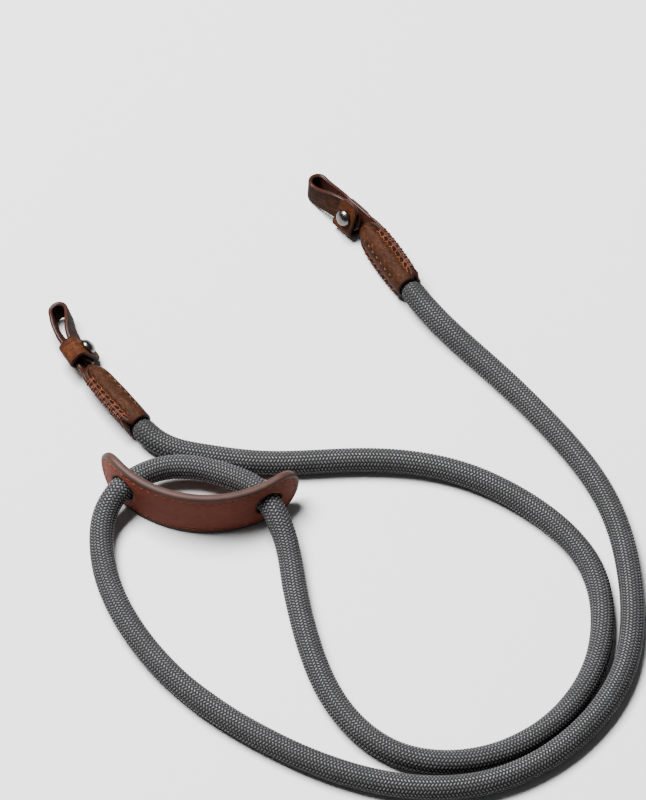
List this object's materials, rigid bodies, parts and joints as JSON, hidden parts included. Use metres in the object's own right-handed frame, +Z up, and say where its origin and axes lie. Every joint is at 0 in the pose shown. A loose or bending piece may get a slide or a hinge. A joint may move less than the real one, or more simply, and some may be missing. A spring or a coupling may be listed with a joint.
{
  "type": "braided rope camera strap",
  "caption": "Round braided neck strap with a sliding curved leather pad and a leather loop end with a buttoned keeper at each rope end, laid on a surface.",
  "frame": {"origin": "middle of the slide pad's foot, on the surface that the strap lies on", "axes": "+Z up from the surface, +Y from the slide pad towards the leather ends, +X to the right as the pad is seen from its convex side"},
  "size_m": [0.2489, 0.3192, 0.0235],
  "materials": {
    "rope_braid": "woven charcoal cord with light grey flecks",
    "pad_leather": "matte reddish brown leather with sealed edges",
    "strap_leather": "waxed dark brown leather with burnished edges",
    "cover_leather": "distressed tan brown leather",
    "keeper_leather": "distressed tan brown leather",
    "stud_metal": "polished dark nickel"
  },
  "bodies": {
    "root": {"rope": "rope_braid", "slide_pad": "pad_leather", "back_strap_a": "strap_leather", "back_strap_b": "strap_leather", "front_cover_a": "cover_leather", "front_cover_b": "cover_leather", "keeper_a": "keeper_leather", "keeper_b": "keeper_leather", "stud_a": "stud_metal", "stud_b": "stud_metal"}
  },
  "joints": []
}
